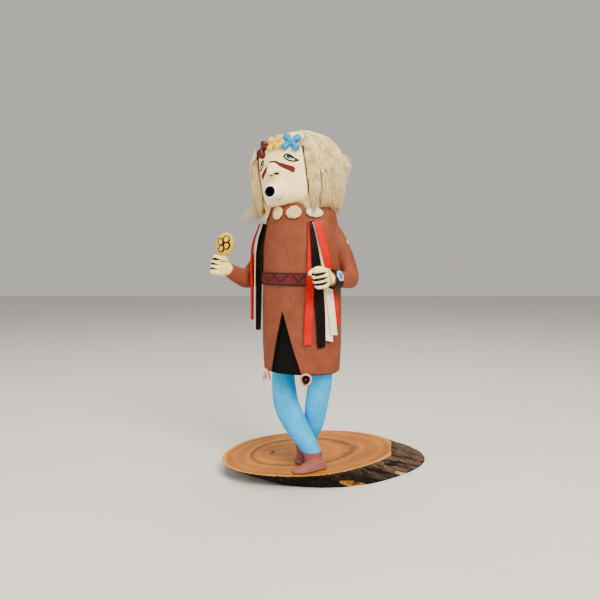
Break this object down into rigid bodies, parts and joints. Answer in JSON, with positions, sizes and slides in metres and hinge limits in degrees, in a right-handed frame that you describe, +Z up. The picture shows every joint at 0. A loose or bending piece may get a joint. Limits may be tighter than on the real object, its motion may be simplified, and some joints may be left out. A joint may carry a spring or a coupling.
{
  "type": "kachina doll",
  "caption": "Carved and painted kachina doll with fur wig, tube-mouthed mask, flowers, shell collar, ribbon shirt, rattle and bow guard, standing on a slice of branch.",
  "frame": {"origin": "centre of the slab's underside, on the surface it stands on", "axes": "+Z up through the doll, +X along the slab to the viewer's right, -Y towards the viewer of the display side"},
  "size_m": [0.2006, 0.1745, 0.3065],
  "materials": {
    "slab_wood": "varnished end grain with rough dark bark at the edge",
    "painted_wood": "matt paint on carved root wood",
    "red_flower": "glossy dark red paint",
    "yellow_flower": "glossy yellow paint",
    "blue_flower": "glossy blue paint",
    "shell": "polished cream shell",
    "fur": "soft ivory fur",
    "red_satin": "satin ribbon",
    "black_satin": "satin ribbon",
    "white_satin": "satin ribbon",
    "black_leather": "painted leather",
    "plaque": "pale painted plaque with a teal stone",
    "yellow_paint": "glossy yellow paint over a carved gourd",
    "tie_ribbon": "folded ribbon ends"
  },
  "bodies": {
    "root": {"base_slab": "slab_wood", "carved_figure": "painted_wood", "flower_red": "red_flower", "flower_yellow": "yellow_flower", "flower_blue": "blue_flower", "shell_1": "shell", "shell_2": "shell", "shell_3": "shell", "shell_4": "shell", "fur_wig": "fur", "left_ribbon_red": "red_satin", "left_ribbon_black": "black_satin", "left_ribbon_white_long": "white_satin", "left_ribbon_white_short": "white_satin", "left_ribbon_side_red": "red_satin", "left_ribbon_side_black": "black_satin", "right_ribbon_black": "black_satin", "right_ribbon_white": "white_satin", "right_ribbon_red": "red_satin", "bow_guard": "black_leather", "bow_guard_stone": "plaque", "rattle": "yellow_paint", "hem_tie_right": "tie_ribbon", "hem_tie_left": "tie_ribbon"}
  },
  "joints": []
}
